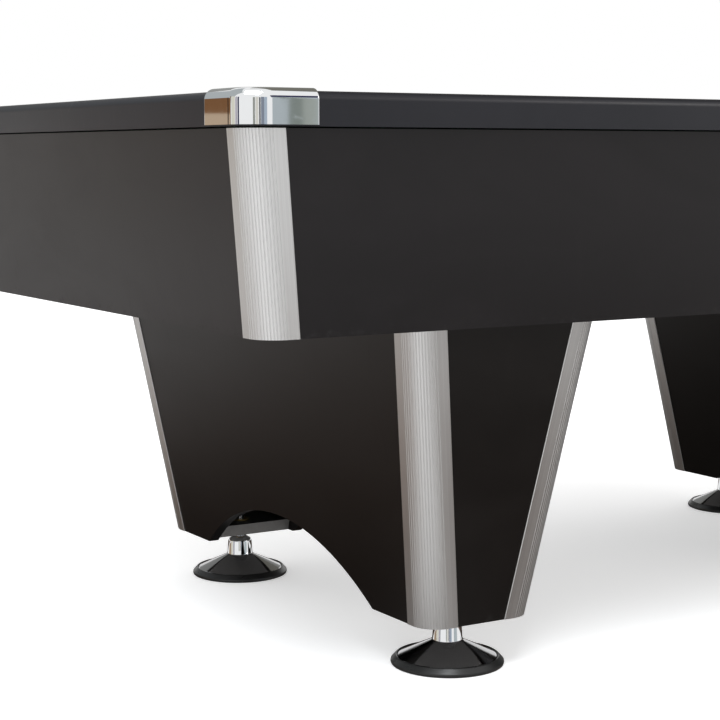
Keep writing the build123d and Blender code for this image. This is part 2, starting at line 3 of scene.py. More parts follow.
import bmesh
import bpy
from bpy.props import FloatProperty, FloatVectorProperty, IntProperty, PointerProperty
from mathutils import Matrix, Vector


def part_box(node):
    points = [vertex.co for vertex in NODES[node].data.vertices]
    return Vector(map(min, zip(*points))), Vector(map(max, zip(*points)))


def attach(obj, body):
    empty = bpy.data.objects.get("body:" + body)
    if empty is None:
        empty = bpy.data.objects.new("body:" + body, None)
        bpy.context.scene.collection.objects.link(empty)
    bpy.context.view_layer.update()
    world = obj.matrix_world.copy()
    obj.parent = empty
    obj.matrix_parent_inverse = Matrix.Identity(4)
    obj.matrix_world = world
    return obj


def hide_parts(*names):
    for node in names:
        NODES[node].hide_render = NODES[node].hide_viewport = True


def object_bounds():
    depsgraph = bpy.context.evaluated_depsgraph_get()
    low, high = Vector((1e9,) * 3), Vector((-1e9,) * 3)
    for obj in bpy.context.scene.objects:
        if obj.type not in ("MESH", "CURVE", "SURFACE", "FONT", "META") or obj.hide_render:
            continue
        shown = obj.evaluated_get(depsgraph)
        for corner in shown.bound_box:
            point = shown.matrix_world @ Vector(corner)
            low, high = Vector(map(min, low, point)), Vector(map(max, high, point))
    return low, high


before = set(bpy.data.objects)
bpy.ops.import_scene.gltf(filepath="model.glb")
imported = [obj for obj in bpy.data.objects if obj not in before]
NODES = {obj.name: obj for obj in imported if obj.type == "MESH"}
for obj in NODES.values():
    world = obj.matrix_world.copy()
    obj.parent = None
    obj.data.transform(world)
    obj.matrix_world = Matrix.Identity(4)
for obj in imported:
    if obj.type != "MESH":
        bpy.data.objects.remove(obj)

bl_info = {
    "name": "Pool table workshop",
    "version": (1, 0, 0),
    "blender": (4, 5, 0),
    "location": "3D View > Sidebar > Pool Table",
    "description": "Finishes, cloth, cushions and feet for a packed pool table",
    "category": "Object",
}

CAD_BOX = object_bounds()
MM = 0.001
SQUARE = ((-1, -1), (1, -1), (1, 1), (-1, 1))


# ---------------------------------------------------------------- settings
def colour(name, description, default):
    """A colour property with red, green and blue from 0 to 1."""
    limits = {"subtype": "COLOR", "min": 0, "max": 1}
    return FloatVectorProperty(name=name, description=description, default=default, **limits)


def length(name, description, default):
    """A length property in metres."""
    kind = {"unit": "LENGTH", "subtype": "DISTANCE"}
    return FloatProperty(name=name, description=description, default=default, **kind)


def share(name, description, default):
    """A plain number from 0 to 1."""
    limits = {"subtype": "FACTOR", "min": 0, "max": 1}
    return FloatProperty(name=name, description=description, default=default, **limits)


def amount(name, description, default, least=0):
    """A plain number with a least value."""
    return FloatProperty(name=name, description=description, default=default, min=least)


class FinishSettings(bpy.types.PropertyGroup):
    """Colours and surface qualities that a maker might change."""

    laminate: colour("Laminate", "Black laminate of the cabinet and pedestals", (0.0052, 0.0040, 0.0046))
    pedestal: colour("Pedestal", "Warmer black laminate of the pedestals", (0.0036, 0.0024, 0.0018))
    rail: colour("Rail wrap", "Black wrap of the rails", (0.0040, 0.0038, 0.0062))
    aluminium: colour("Aluminium", "Satin anodised corner trims", (0.635, 0.64, 0.635))
    chrome: colour("Chrome", "Plated caps, stems and foot discs", (0.80, 0.81, 0.82))
    baize: colour("Baize", "Wool cloth of the bed and cushions", (0.006, 0.140, 0.060))
    rubber: colour("Rubber", "Foot pads", (0.010, 0.010, 0.010))
    timber: colour("Timber", "Beams and ledges under the slate", (0.52, 0.36, 0.19))
    slate: colour("Slate", "Bed stone", (0.085, 0.095, 0.105))
    satin: share("Laminate roughness", "Middle roughness of the laminate", 0.40)
    brushed: share("Aluminium roughness", "Middle roughness of the trims", 0.42)
    cabinet_lean: share("Cabinet lean", "Sideways travel of its corners for each unit of height", 0.163)
    pedestal_lean: share("Pedestal lean", "Sideways travel of their corners for each unit of height", 0.152)


class ClothSettings(bpy.types.PropertyGroup):
    """How the cloth lies on the bed and over the cushions."""

    thickness: length("Cloth thickness", "Thickness of the wool cloth", 1.0 * MM)
    turn_down: length("Turn-down", "How far the bed cloth goes down the slate's edges", 14 * MM)
    pleat: length("Pleat depth", "Depth of the tucks round a cushion's ends", 0.35 * MM)
    tuck: length("Tuck", "Depth of the groove where the cloth goes in behind the cushion", 1.4 * MM)
    corner_end: length("Corner end radius", "Rounding of a cushion's end at a corner pocket", 40 * MM)
    side_end: length("Side end radius", "Rounding of a cushion's end at a middle pocket", 30 * MM)


class FootSettings(bpy.types.PropertyGroup):
    """The screw feet."""

    pitch: length("Pitch", "Height of one turn of the stud's thread", 2.0 * MM)
    thread_depth: length("Thread depth", "From the thread's crest to its root", 1.1 * MM)
    segments: IntProperty(
        name="Segments", description="Faces round a turned piece", default=96, min=24, max=256
    )


class StageSettings(bpy.types.PropertyGroup):
    """The floor, the lights and the camera."""

    floor_tone: share("Floor tone", "How light the floor is", 0.88)
    floor_glow: share("Floor glow", "How much the floor lights itself, which softens its shadows", 0.42)
    # The mat's near colour is painted shade: the floor under the table, as the polished pieces reflect it, is
    # painted dark. The fade sets where that painted shade gives way to the far colour.
    mat_near: colour("Mat near", "Colour of the reflected floor under the table", (0.088, 0.064, 0.052))
    mat_far: colour("Mat far", "Colour of the reflected floor away from the table", (0.64, 0.625, 0.62))
    mat_fade: FloatVectorProperty(
        name="Mat fade",
        description="Distances from the middle where the reflected floor starts and stops growing paler",
        size=2,
        default=(1.15, 2.6),
        unit="LENGTH",
    )
    surround: amount("Surround", "Strength of the even white light", 1.0)
    key: amount("Key light", "Power of the large light from the left", 170)
    fill: amount("Fill light", "Power of the light from the front right", 40)
    lens: amount("Lens", "Focal length in millimetres", 88.82, least=10)


# ---------------------------------------------------------------- materials: maths on sockets
class Signal:
    """A shader socket that arithmetic works on: each operator adds the Math node that it stands for."""

    def __init__(self, finish, socket):
        self.finish = finish
        self.socket = socket

    def math(self, operation, *values):
        return self.finish.node("ShaderNodeMath", {"operation": operation}, dict(enumerate(values)))

    def __add__(self, other):
        return self.math("ADD", self, other)

    __radd__ = __add__

    def __sub__(self, other):
        return self.math("SUBTRACT", self, other)

    def __rsub__(self, other):
        return self.math("SUBTRACT", other, self)

    def __mul__(self, other):
        return self.math("MULTIPLY", self, other)

    __rmul__ = __mul__

    def size(self):
        """The value without its sign."""
        return self.math("ABSOLUTE", self)

    def eased(self, low, high):
        """0 below low, 1 above high, and smooth between. With low above high it falls instead of rising."""
        settings = {"interpolation_type": "SMOOTHSTEP", "clamp": True}
        inputs = {"Value": self, "From Min": low, "From Max": high}
        return self.finish.node("ShaderNodeMapRange", settings, inputs)


class Finish:
    """A material being made: its nodes, and the surface shader that they feed."""

    def __init__(self, name, **constants):
        self.material = bpy.data.materials.new(name)
        self.material.use_nodes = True
        self.tree = self.material.node_tree
        self.surface = next(n for n in self.tree.nodes if n.type == "BSDF_PRINCIPLED")
        for socket, value in constants.items():
            self.surface.inputs[socket.replace("_", " ")].default_value = value

    def node(self, kind, settings=(), inputs=(), output=0):
        """Adds a node: first its settings, then each socket's value or link. Gives one of its outputs."""
        made = self.tree.nodes.new(kind)
        for name, value in dict(settings).items():
            if name == "stops":
                self.set_stops(made.color_ramp.elements, value)
            else:
                setattr(made, name, value)
        for key, value in dict(inputs).items():
            if isinstance(value, Signal):
                self.tree.links.new(value.socket, made.inputs[key])
            else:
                made.inputs[key].default_value = value
        return Signal(self, made.outputs[output])

    @staticmethod
    def set_stops(elements, stops):
        while len(elements) < len(stops):
            elements.new(1)
        for element, (place, rgb) in zip(elements, stops):
            element.position = place
            element.color = (*rgb, 1)

    def feed(self, **signals):
        """Links signals to the surface shader's sockets."""
        for socket, signal in signals.items():
            self.tree.links.new(signal.socket, self.surface.inputs[socket.replace("_", " ")])
        return self

    def place(self):
        """Where a point of the piece is, in metres, in the table's own frame."""
        return self.node("ShaderNodeTexCoord", output="Object")

    def along(self, axis, place=None):
        """One coordinate of a place."""
        return self.node("ShaderNodeSeparateXYZ", inputs={0: place or self.place()}, output=axis)

    def reach(self, vector):
        """A vector's length."""
        return self.node("ShaderNodeVectorMath", {"operation": "LENGTH"}, {0: vector}, "Value")

    def joined(self, x, y, z):
        """A vector from three signals or numbers."""
        return self.node("ShaderNodeCombineXYZ", inputs={0: x, 1: y, 2: z})

    def stretched(self, scale, turn=(0, 0, 0)):
        """The place, scaled by a different amount along each axis."""
        inputs = {"Vector": self.place(), "Scale": scale, "Rotation": turn}
        return self.node("ShaderNodeMapping", {"vector_type": "POINT"}, inputs)

    def noise(self, scale, detail=3.0, roughness=0.5, place=None, warp=0.0):
        """Cloudy noise from 0 to 1."""
        inputs = {"Vector": place or self.place(), "Scale": scale, "Detail": detail}
        inputs |= {"Roughness": roughness, "Distortion": warp}
        return self.node("ShaderNodeTexNoise", inputs=inputs)

    def cells(self, scale, place=None, feature="F1"):
        """How far a point is from the middle of its cell, or from its cell's edge."""
        inputs = {"Vector": place or self.place(), "Scale": scale}
        return self.node("ShaderNodeTexVoronoi", {"feature": feature}, inputs, "Distance")

    def wave(self, scale, axis="X", place=None, warp=0.0, detail=0.0):
        """Soft bands across an axis."""
        settings = {"wave_type": "BANDS", "bands_direction": axis, "wave_profile": "SIN"}
        inputs = {"Vector": place or self.place(), "Scale": scale, "Distortion": warp, "Detail": detail}
        return self.node("ShaderNodeTexWave", settings, inputs, output=1)

    def mix(self, amount, one, other):
        """A colour between two, each a colour or a signal."""
        one, other = (c if isinstance(c, Signal) else (*c, 1) for c in (one, other))
        return self.node("ShaderNodeMix", {"data_type": "RGBA"}, {0: amount, 6: one, 7: other}, 2)

    def tinted(self, base, amount, factor):
        """A colour made lighter or darker by a signal about a middle of one half."""
        light = tuple(min(1.0, c * (1 + amount)) for c in base)
        dark = tuple(c * (1 - amount) for c in base)
        return self.mix(factor, dark, light)

    def bump(self, height, depth, strength=1.0):
        """A normal from a height between 0 and 1, where depth is how tall 1 is, in metres."""
        return self.node("ShaderNodeBump", inputs={"Height": height, "Distance": depth, "Strength": strength})


# ---------------------------------------------------------------- materials: the table's finishes
def laminate(name, base, low_edge, roughness):
    """Black laminate with a fine pearl texture, faint smears, and scuffs near its lowest edge."""
    worn, scuffed_height = (0.16, 0.15, 0.15), 0.022
    f = Finish(name, IOR=1.36)
    smear = f.noise(3.2, 4, 0.6, f.stretched((1, 1, 2.4)), 0.8)
    wiped = f.noise(26, 5, 0.65, f.stretched((1, 1, 0.25), (0.5, 0.3, 0.2)), 1.2)
    speck = f.cells(420).eased(0.09, 0.05) * f.noise(60, 2).eased(0.60, 0.72)
    near_edge = (low_edge + scuffed_height - f.along("Z")).eased(0.0, scuffed_height)
    scuff = near_edge * f.noise(90, 6, 0.7).eased(0.50, 0.74)
    haze = smear.eased(0.35, 0.75) * 0.5 + wiped.eased(0.55, 0.80) * 0.35
    body = f.tinted(base, 0.35, haze)
    body = f.mix(speck * 0.10 + scuff * 0.04, body, worn)
    grain = f.noise(1500, 2, 0.5) * 0.6 + f.cells(900) * 0.4
    f.feed(
        Base_Color=body,
        Roughness=roughness + haze * 0.10 + scuff * 0.15 - 0.03,
        Normal=f.bump(grain, 0.04 * MM, 0.45),
    )
    return f.material


def rail_wrap(base):
    """Smooth black wrap of the rails, a little glossier than the panels, with polished-in fine scratches."""
    f = Finish("rail_wrap", IOR=1.40, Coat_IOR=1.4)
    smear = f.noise(5, 4, 0.6, None, 0.6)
    scratch = f.cells(55, f.stretched((1, 1, 0.05), (0, 0, 0.6)), "DISTANCE_TO_EDGE").eased(0.010, 0.002)
    f.feed(
        Base_Color=f.tinted(base, 0.30, smear),
        Roughness=0.31 + smear * 0.12 - scratch * 0.05,
        Normal=f.bump(f.noise(1100, 3) + scratch * -0.3, 0.03 * MM, 0.5),
    )
    return f.material


def fluted_aluminium(name, base, roughness, centre_x, lean):
    """Satin anodised extrusion: fine die lines along it, small variations of tone, a few handling marks.

    The lines follow the leaning corners: centre_x is how far from the middle of the table the corners' own
    middle is, and lean is their sideways travel for each unit of height.
    """
    f = Finish(name, Metallic=1.0)
    height = f.along("Z")
    across = (f.along("X").size() - centre_x).size() - height * lean
    side = f.along("Y").size() - height * lean
    lines = f.noise(1, 2, 0.5, f.joined(across * 620, side * 620, height * 0.9))
    broad = f.noise(1, 2, 0.5, f.joined(across * 150, side * 150, height * 1.5))
    mark = f.noise(70, 5, 0.6, None, 1.0).eased(0.62, 0.78)
    f.feed(
        Base_Color=f.tinted(base, 0.16, lines * 0.7 + broad * 0.35),
        Roughness=roughness + lines * 0.10 - 0.05 + mark * 0.05,
        Normal=f.bump(f.noise(1600, 2), 0.01 * MM, 0.2),
    )
    return f.material


def chrome(name, base, ripple):
    """Bright plate: nearly a mirror, with the slow ripple of a polished casting and faint fingermarks."""
    f = Finish(name, Metallic=1.0)
    touch = f.noise(38, 5, 0.6, None, 1.5).eased(0.52, 0.80)
    f.feed(
        Base_Color=f.tinted(base, 0.04, f.noise(20, 2)),
        Roughness=0.035 + touch * 0.07,
        Normal=f.bump(f.noise(ripple, 1), 0.25 * MM, 0.35),
    )
    return f.material


def baize(name, base, glued_below):
    """Napped wool: a fine twill under short fibres, a soft brushed direction, and faint chalk dust.

    Below a height the cloth is painted near-black. This is painted shade for the narrow dark gap between the
    rails and the cabinet, where the cloth turns down the slate's edge.
    """
    chalk_blue, glue_black, fuzz = (0.20, 0.32, 0.36), (0.004, 0.006, 0.005), (0.55, 0.95, 0.70, 1)
    sheen = {"Sheen_Weight": 0.55, "Sheen_Roughness": 0.45, "Sheen_Tint": fuzz}
    f = Finish(name, Roughness=0.92, IOR=1.3, **sheen)
    slanted = f.stretched((1, 1, 1), (0, 0, 0.7))
    weft, warp = (f.wave(330, axis, slanted) for axis in "XY")
    fibre = f.noise(1, 5, 0.75, f.stretched((700, 2600, 1500)))
    cloud = f.noise(2.2, 3, 0.6, None, 0.4)
    chalk = f.noise(160, 4, 0.7).eased(0.68, 0.80) * f.noise(5, 3).eased(0.45, 0.70)
    body = f.tinted(base, 0.30, fibre * 0.7 + cloud * 0.3)
    body = f.mix(chalk * 0.20, body, chalk_blue)
    # painted shade: below the given height the cloth is painted near-black, for the dark gap under the rails
    glued = (glued_below - f.along("Z")).eased(0.0, 0.2 * MM)
    f.feed(
        Base_Color=f.mix(glued, body, glue_black),
        Normal=f.bump(weft * warp * 0.5 + fibre, 0.22 * MM, 0.7),
    )
    return f.material


def slate_stone(base):
    """Honed slate with soft bedding clouds and tiny mica flecks."""
    mica = (0.25, 0.27, 0.29)
    f = Finish("slate", IOR=1.5)
    bed = f.noise(9, 6, 0.65, f.stretched((1, 1, 6)), 1.0)
    fleck = f.cells(1300).eased(0.16, 0.08)
    body = f.mix(fleck * 0.25, f.tinted(base, 0.35, bed), mica)
    f.feed(Base_Color=body, Roughness=0.55 + bed * 0.2, Normal=f.bump(bed + fleck * 0.2, 0.2 * MM, 0.5))
    return f.material


def timber(base):
    """Planed softwood: growth rings drawn out along the length, darker late wood, small pores."""
    f = Finish("frame_timber", IOR=1.45)
    rings = f.wave(26, "Y", f.stretched((0.6, 1.0, 3.0), (0.06, 0.03, 0.02)), 7.0, 3.0)
    pores = f.noise(1, 4, 0.7, f.stretched((60, 900, 900)))
    body = f.mix(rings * 0.6, base, tuple(c * 0.55 for c in base))
    body = f.mix(pores.eased(0.6, 0.8) * 0.4, body, tuple(c * 0.35 for c in base))
    f.feed(Base_Color=body, Roughness=0.62 + pores * 0.15, Normal=f.bump(rings * 0.4 + pores, 0.15 * MM, 0.6))
    return f.material


def foil_board(name, base):
    """Dark foil over particle board: even, slightly mottled."""
    f = Finish(name, IOR=1.4)
    mottle = f.noise(240, 5, 0.6) * 0.5 + f.noise(9, 3) * 0.5
    f.feed(
        Base_Color=f.tinted(base, 0.35, mottle),
        Roughness=0.50 + mottle * 0.15,
        Normal=f.bump(f.noise(1300, 2), 0.05 * MM, 0.5),
    )
    return f.material


def moulded(name, base, roughness, grain_scale, depth):
    """Moulded plastic or rubber with a fine spark-eroded grain and rubbed-smooth patches."""
    f = Finish(name, IOR=1.5)
    rubbed = f.noise(34, 4, 0.6, None, 0.8).eased(0.45, 0.75)
    grain = f.cells(grain_scale) * 0.5 + f.noise(grain_scale * 1.6, 2) * 0.5
    f.feed(
        Base_Color=f.tinted(base, 0.25, grain),
        Roughness=roughness - rubbed * 0.10 + grain * 0.06,
        Normal=f.bump(grain, depth, 0.6),
    )
    return f.material


def turned_metal(name, base, roughness):
    """Plated or turned hardware with round tool marks."""
    f = Finish(name, Metallic=1.0)
    marks = f.wave(1200, "Z") * 0.5 + f.noise(300, 3) * 0.5
    f.feed(
        Base_Color=f.tinted(base, 0.15, marks),
        Roughness=roughness + marks * 0.1,
        Normal=f.bump(marks, 0.02 * MM, 0.5),
    )
    return f.material


# ---------------------------------------------------------------- meshes
def wear(piece, material):
    """Gives a piece one material, in place of any that it has."""
    piece.data.materials.clear()
    piece.data.materials.append(material)


def dress(names, material):
    """Gives CAD nodes a finish."""
    for name in names:
        if name not in NODES:
            raise RuntimeError(f"there is no node named {name}")
        wear(NODES[name], material)


def matching(*parts):
    """The CAD nodes whose names hold all the given words."""
    return [name for name in NODES if all(part in name for part in parts)]


def piece_from(name, bm, material, body="root", smooth_angle=40):
    """Makes an object of a bmesh, smooth but for its sharp edges, riding on a body."""
    bmesh.ops.recalc_face_normals(bm, faces=bm.faces)
    mesh = bpy.data.meshes.new(name)
    bm.to_mesh(mesh)
    bm.free()
    mesh.shade_smooth()
    mesh.set_sharp_from_angle(angle=math.radians(smooth_angle))
    piece = bpy.data.objects.new(name, mesh)
    bpy.context.scene.collection.objects.link(piece)
    wear(piece, material)
    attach(piece, body)
    return piece


def ring_of(bm, points):
    """New vertices at some points."""
    return [bm.verts.new(p) for p in points]


def bridge(bm, low, high, closed=True):
    """Quads between two rows of as many points."""
    count = len(low)
    for i in range(count if closed else count - 1):
        j = (i + 1) % count
        bm.faces.new((low[i], low[j], high[j], high[i]))


# ---------------------------------------------------------------- operators
class Maker:
    """What every piece's operator shares."""

    bl_options = {"REGISTER", "UNDO"}

    def execute(self, context):
        scene = context.scene
        self.make(scene, scene.pool_table_finish)
        return {"FINISHED"}


class POOL_OT_cabinet(Maker, bpy.types.Operator):
    """Finish the cabinet's leaning boards, its base and the ball window"""

    bl_idname = "pool.cabinet"
    bl_label = "Finish the cabinet"
    FOIL, WINDOW = (0.055, 0.055, 0.057), (0.58, 0.57, 0.55)

    def make(self, scene, look):
        low_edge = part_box("apron_front")[0].z
        boards = [name for name in matching("apron_") if "trim" not in name]
        dress(boards, laminate("cabinet_laminate", look.laminate, low_edge, look.satin))
        dress(["base_board"], foil_board("base_foil", self.FOIL))
        dress(["ball_window_frame"], turned_metal("window_metal", self.WINDOW, look.brushed))


class POOL_OT_pedestals(Maker, bpy.types.Operator):
    """Finish the two pedestals' panels and the boards inside them"""

    bl_idname = "pool.pedestals"
    bl_label = "Finish the pedestals"
    FOIL = (0.13, 0.125, 0.12)

    def make(self, scene, look):
        panels = matching("leg_", "_panel")
        low_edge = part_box(panels[0])[0].z
        dress(panels, laminate("pedestal_laminate", look.pedestal, low_edge, look.satin))
        dress(["leg_top_boards", "foot_boards"], foil_board("pedestal_foil", self.FOIL))


class POOL_OT_trims(Maker, bpy.types.Operator):
    """Finish the fluted aluminium corners"""

    bl_idname = "pool.trims"
    bl_label = "Finish the fluted corners"

    def make(self, scene, look):
        low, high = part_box("leg_left_trims")
        middle = -(low.x + high.x) / 2
        for name, nodes, centre_x, lean in (
            ("cabinet_corner_metal", matching("apron_trim_"), 0.0, look.cabinet_lean),
            ("pedestal_corner_metal", matching("leg_", "_trims"), middle, look.pedestal_lean),
        ):
            metal = fluted_aluminium(name, look.aluminium, look.brushed, centre_x, lean)
            dress(nodes, metal)


class POOL_OT_rails(Maker, bpy.types.Operator):
    """Wrap the four rails"""

    bl_idname = "pool.rails"
    bl_label = "Wrap the rails"

    def make(self, scene, look):
        rails = [name for name in matching("rail_") if name != "rail_bolts"]
        dress(rails, rail_wrap(look.rail))


class POOL_OT_caps(Maker, bpy.types.Operator):
    """Plate the corner and side caps and finish the pocket liners"""

    bl_idname = "pool.caps"
    bl_label = "Plate the caps"
    POCKET = (0.012, 0.012, 0.012)

    def make(self, scene, look):
        dress(matching("_cap_"), chrome("cap_chrome", look.chrome, 9))
        rubber = moulded("pocket_black", self.POCKET, 0.46, 700, 0.12 * MM)
        dress(["pocket_liners"], rubber)


class POOL_OT_bed(Maker, bpy.types.Operator):
    """Finish the slate, its timber frame and the bolts"""

    bl_idname = "pool.bed"
    bl_label = "Finish the bed and its frame"
    ZINC = (0.46, 0.46, 0.45)

    def make(self, scene, look):
        dress(["slate_bed"], slate_stone(look.slate))
        dress(["slate_ledges", "cross_beams"], timber(look.timber))
        dress(["rail_bolts", "leg_screws"], turned_metal("zinc_plate", self.ZINC, 0.34))


class POOL_OT_ball_return(Maker, bpy.types.Operator):
    """Finish the ball runs and the ball tray"""

    bl_idname = "pool.ball_return"
    bl_label = "Finish the ball return"
    RUN, TRAY = (0.075, 0.075, 0.080), (0.030, 0.030, 0.031)

    def make(self, scene, look):
        dress(["ball_runs"], moulded("run_grey", self.RUN, 0.52, 420, 0.15 * MM))
        dress(["ball_tray"], moulded("tray_black", self.TRAY, 0.70, 900, 0.25 * MM))


def rounded_rectangle(half_x, half_y, radius, steps=6):
    """Points once round a rectangle with rounded corners."""
    points = []
    for k, (sx, sy) in enumerate(((1, 1), (-1, 1), (-1, -1), (1, -1))):
        cx, cy = sx * (half_x - radius), sy * (half_y - radius)
        turn = [math.pi / 2 * (k + i / steps) for i in range(steps + 1)]
        points += [(cx + radius * math.cos(a), cy + radius * math.sin(a)) for a in turn]
    return points


def circle(x, y, radius, steps):
    """Points once round a circle."""
    turn = [2 * math.pi * i / steps for i in range(steps)]
    return [(x + radius * math.cos(a), y + radius * math.sin(a)) for a in turn]


def round_holes(name):
    """The round holes down through a flat CAD node, each as (x, y, radius)."""
    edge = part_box(name)[1]
    bm = bmesh.new()
    bm.from_mesh(NODES[name].data)
    bmesh.ops.remove_doubles(bm, verts=bm.verts, dist=0.001 * MM)
    bm.verts.ensure_lookup_table()
    beside = {}
    for e in bm.edges:
        at_top = all(abs(v.co.z - edge.z) < 0.01 * MM for v in e.verts)
        if at_top and {abs(f.normal.z) > 0.5 for f in e.link_faces} == {True, False}:
            a, b = (v.index for v in e.verts)
            beside.setdefault(a, []).append(b)
            beside.setdefault(b, []).append(a)
    holes, seen = [], set()
    for start in sorted(beside):
        if start in seen:
            continue
        loop, here = [], start
        while here is not None:
            seen.add(here)
            loop.append(bm.verts[here].co.copy())
            here = next((k for k in beside[here] if k not in seen), None)
        xs, ys = [p.x for p in loop], [p.y for p in loop]
        if max(xs) < edge.x - MM:
            holes.append(((min(xs) + max(xs)) / 2, (min(ys) + max(ys)) / 2, (max(xs) - min(xs)) / 2))
    bm.free()
    return holes


class POOL_OT_bed_cloth(Maker, bpy.types.Operator):
    """Stretch the wool cloth over the slate, with its holes cut and its edges turned down"""

    bl_idname = "pool.bed_cloth"
    bl_label = "Stretch the bed cloth"

    LIFT = 0.02 * MM  # between the slate and the cloth
    CLEAR = 0.3 * MM  # between the slate's edges and the cloth turned down over them
    REACH = 1.05  # how far the cloth stands past the slate's edge, in its own thicknesses
    BEND_START = 1.0 * MM  # from the slate's edge in to where the cloth starts to turn over it
    GLUED_FROM = 0.2 * MM  # from the cloth's face down to where its painted shade starts, for the dark gap under the rails
    POCKET_LEAST = 20 * MM  # a smaller hole is a bolt's
    # How the cloth turns over the edge: shares of its reach, and millimetres down.
    SKIRT = ((0.4, 0.05), (0.8, 0.3), (0.97, 0.8), (1.0, 1.6))
    POCKET_STEPS, BOLT_STEPS = 72, 16

    def make(self, scene, look):
        cloth = scene.pool_table_cloth
        low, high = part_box("bed_cloth")
        under, down = low.z + self.LIFT, high.z - cloth.turn_down
        wrap = self.REACH * cloth.thickness
        holes = round_holes("bed_cloth")
        outside = [(-self.BEND_START, high.z)] + [(wrap * g, high.z - d * MM) for g, d in self.SKIRT]
        inside = [(wrap, down), (self.CLEAR, down), (self.CLEAR, under)]
        bm = bmesh.new()
        rows = []
        for grow, z in outside + inside:
            ring = rounded_rectangle(high.x + grow, high.y + grow, max(self.CLEAR, grow))
            rows.append(ring_of(bm, [(x, y, z) for x, y in ring]))
        for near, far in zip(rows, rows[1:]):
            bridge(bm, near, far)
        steps = [self.POCKET_STEPS if r > self.POCKET_LEAST else self.BOLT_STEPS for _, _, r in holes]
        rims = [circle(*hole, count) for hole, count in zip(holes, steps)]
        levels = []
        for z, border in ((high.z, rows[0]), (under, rows[-1])):
            loops = [border] + [ring_of(bm, [(x, y, z) for x, y in rim]) for rim in rims]
            edges = []
            for loop in loops:
                for a, b in zip(loop, loop[1:] + loop[:1]):
                    edges.append(bm.edges.get((a, b)) or bm.edges.new((a, b)))
            bmesh.ops.triangle_fill(bm, use_beauty=True, use_dissolve=False, edges=edges)
            levels.append(loops[1:])
        for top_rim, low_rim in zip(*levels):
            bridge(bm, top_rim, low_rim)
        wool = baize("bed_baize", look.baize, high.z - self.GLUED_FROM)
        piece = piece_from("stretched_bed_cloth", bm, wool)
        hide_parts("bed_cloth")
        fall = cloth.turn_down + cloth.thickness
        flat = (2 * (high.x + fall), 2 * (high.y + fall))
        area = flat[0] * flat[1] - 4 * fall**2 - sum(math.pi * r**2 for _, _, r in holes)


